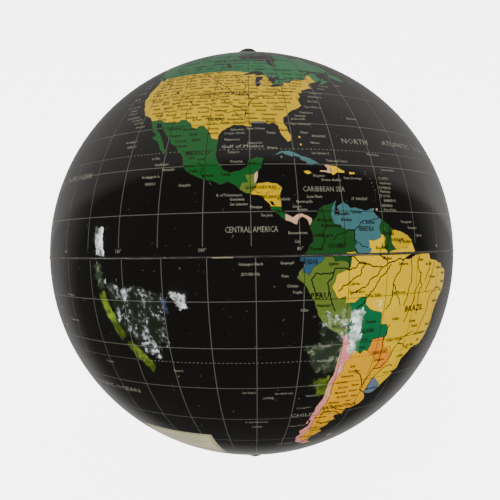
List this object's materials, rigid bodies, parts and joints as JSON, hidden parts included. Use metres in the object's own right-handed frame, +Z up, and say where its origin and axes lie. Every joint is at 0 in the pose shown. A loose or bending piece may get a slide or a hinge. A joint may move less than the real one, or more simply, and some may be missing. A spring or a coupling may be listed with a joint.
{
  "type": "desktop globe",
  "caption": "Printed terrestrial globe that spins on a tilted axle, held by a half-circle arm on a low round weighted base.",
  "frame": {"origin": "centre of the base, on the desk", "axes": "+Z up; -Y is the side that the viewer stands on, where the ball overhangs the base; +X to the viewer's right"},
  "size_m": [0.2552, 0.2594, 0.2749],
  "materials": {
    "printed_map_north": "glossy varnish over print",
    "printed_map_south": "glossy varnish over print",
    "seam_glue": "hard glue",
    "board": "raw",
    "nylon": "moulded",
    "steel": "zinc plated",
    "arm_metal": "satin nickel",
    "cap_metal": "satin nickel",
    "base_wood": "turned walnut, satin lacquer",
    "ballast_steel": "raw",
    "felt": "pressed felt"
  },
  "bodies": {
    "stand": {"meridian_arm": "arm_metal", "axle_rod": "steel", "north_axle_cap": "cap_metal", "south_axle_cap": "cap_metal", "north_thrust_washer": "nylon", "south_thrust_washer": "nylon", "arm_saddle": "arm_metal", "saddle_collar": "cap_metal", "arm_screws": "steel", "saddle_bolt": "steel", "bolt_washer": "steel", "base_disc": "base_wood", "base_trim_ring": "cap_metal", "ballast_plate": "ballast_steel", "ballast_screws": "steel", "felt_pad": "felt"},
    "ball": {"north_shell": "printed_map_north", "south_shell": "printed_map_south", "seam_bead": "seam_glue", "joint_band": "board", "north_bushing": "nylon", "south_bushing": "nylon", "north_pole_plate": "board", "south_pole_plate": "board", "north_retaining_ring": "steel", "south_retaining_ring": "steel"}
  },
  "joints": [
    {"name": "ball_spin", "type": "hinge", "parent": "stand", "child": "ball", "pos_m": [0, -0.042, 0.14796], "axis": [0, 0.3987, 0.9171], "continuous": true}
  ]
}
